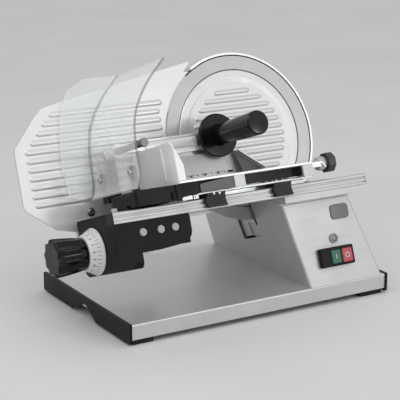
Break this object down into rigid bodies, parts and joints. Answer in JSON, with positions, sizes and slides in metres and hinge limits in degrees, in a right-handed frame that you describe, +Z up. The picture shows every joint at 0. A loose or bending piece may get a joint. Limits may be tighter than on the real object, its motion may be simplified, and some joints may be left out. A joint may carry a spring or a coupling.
{
  "type": "electric gravity feed meat slicer",
  "caption": "Table-top meat slicer: inclined round blade with ring guard, ribbed gauge plate set by a knob, sliding carriage with pusher and clear hand guard on a rail, motor housing and tray.",
  "frame": {"origin": "middle of the whole machine's footprint at rest, on the surface that its rubber feet stand on", "axes": "+X along the carriage rail away from the operator's thickness knob, +Y from the food side to the slice side, +Z up"},
  "size_m": [0.5184, 0.2977, 0.3724],
  "materials": {
    "anodised_grey": "fine brushed, anodised",
    "bright_aluminium": "satin polished",
    "extruded_aluminium": "extruded, anodised",
    "stainless": "satin",
    "blade_steel": "ground and polished",
    "black_casting": "black powder coat, fine texture",
    "black_plastic": "satin moulded",
    "clear_plastic": "clear, polished",
    "white_plastic": "satin moulded, marked with plain graduations",
    "green_plastic": "translucent, lit from behind",
    "red_plastic": "translucent, lit from behind",
    "lamp_parts": "clear lens in a plated ring",
    "rubber_black": "moulded",
    "cast_aluminium": "cast, bead blasted",
    "bronze": "sintered",
    "steel_parts": "turned",
    "zinc_steel": "zinc plated",
    "motor_paint": "dark enamel",
    "capacitor_case": "moulded"
  },
  "bodies": {
    "frame": {"base_tray": "anodised_grey", "left_side_panel": "black_plastic", "right_side_panel": "black_plastic", "rubber_feet": "rubber_black", "motor_housing": "anodised_grey", "housing_bottom_cover": "zinc_steel", "frame_screws": "zinc_steel", "switch_block": "black_plastic", "pilot_lamp": "lamp_parts", "blank_badge_plate": "bright_aluminium", "cable_gland": "black_plastic", "rail_carrier_strip": "cast_aluminium", "guide_rail": "extruded_aluminium", "rail_end_caps": "extruded_aluminium", "travel_stops": "steel_parts", "gauge_bracket": "black_casting", "cam_chamber_cover": "black_plastic", "bronze_bushes": "bronze", "blade_guard_ring": "bright_aluminium", "drive_arm": "cast_aluminium", "blade_bearings": "steel_parts", "bearing_cap": "cast_aluminium", "blade_cover": "bright_aluminium", "motor": "motor_paint", "drive_belt": "rubber_black", "run_capacitor": "capacitor_case", "slice_deflector": "stainless"},
    "blade_assembly": {"blade": "blade_steel", "blade_shaft": "steel_parts", "blade_screws": "zinc_steel", "blade_pulley": "cast_aluminium"},
    "motor_rotor": {"motor_shaft": "steel_parts", "motor_pulley": "steel_parts"},
    "gauge_slide": {"gauge_plate": "bright_aluminium", "gauge_carrier": "cast_aluminium", "guide_rods": "steel_parts", "cam_follower": "steel_parts", "gauge_plate_screws": "stainless"},
    "thickness_control": {"thickness_knob": "black_plastic", "thickness_dial": "white_plastic", "cam_spindle": "steel_parts"},
    "carriage": {"carriage_table": "stainless", "carriage_end_wall": "stainless", "carriage_end_block": "black_plastic", "hand_guard": "clear_plastic", "pusher_rod": "steel_parts", "rod_post": "black_plastic", "slide_beam": "zinc_steel", "slide_blocks": "black_plastic", "carriage_screws": "zinc_steel", "table_brackets": "stainless", "carriage_under_cover": "stainless"},
    "table_lock": {"lock_knob": "black_plastic"},
    "pusher": {"pusher_arm": "stainless", "pusher_plate": "stainless", "pusher_grip": "black_plastic"},
    "start_push": {"start_button": "green_plastic"},
    "stop_push": {"stop_button": "red_plastic"},
    "cover_release": {"cover_release_knob": "black_plastic", "cover_tie_rod": "steel_parts"}
  },
  "joints": [
    {"name": "blade_spin", "type": "hinge", "parent": "frame", "child": "blade_assembly", "pos_m": [0.10625, 0.02297, 0.22338], "axis": [0, 0.9397, -0.342], "continuous": true},
    {"name": "motor_spin", "type": "hinge", "parent": "frame", "child": "motor_rotor", "pos_m": [0.17725, 0.01507, 0.09642], "axis": [0, 0.9397, -0.342], "continuous": true},
    {"name": "thickness_turn", "type": "hinge", "parent": "frame", "child": "thickness_control", "pos_m": [-0.21475, -0.06495, 0.11341], "axis": [1, 0, 0], "range_deg": [0, 330.5]},
    {"name": "gauge_travel", "type": "slide", "parent": "frame", "child": "gauge_slide", "axis": [0, 0.9397, -0.342], "range_m": [0, 0.015]},
    {"name": "carriage_travel", "type": "slide", "parent": "frame", "child": "carriage", "axis": [1, 0, 0], "range_m": [-0.1335, 0.118]},
    {"name": "pusher_travel", "type": "slide", "parent": "carriage", "child": "pusher", "axis": [0, -0.9397, 0.342], "range_m": [0, 0.0685]},
    {"name": "table_lock_turn", "type": "hinge", "parent": "carriage", "child": "table_lock", "pos_m": [0.17125, -0.10964, 0.20406], "axis": [1, 0, 0], "range_deg": [0, 540]},
    {"name": "start_press", "type": "slide", "parent": "frame", "child": "start_push", "axis": [0, 0.9397, -0.342], "range_m": [0, 0.003], "stiffness_N_per_m": 900},
    {"name": "stop_press", "type": "slide", "parent": "frame", "child": "stop_push", "axis": [0, 0.9397, -0.342], "range_m": [0, 0.003], "stiffness_N_per_m": 900},
    {"name": "cover_release_turn", "type": "hinge", "parent": "frame", "child": "cover_release", "pos_m": [0.10625, 0.12257, 0.18712], "axis": [0, 0.9397, -0.342], "range_deg": [0, 720]}
  ],
  "couplings": [
    {"joint": "thickness_turn", "follows": "gauge_travel", "rad_per_m": 383.97},
    {"joint": "motor_spin", "follows": "blade_spin", "ratio": 4}
  ]
}
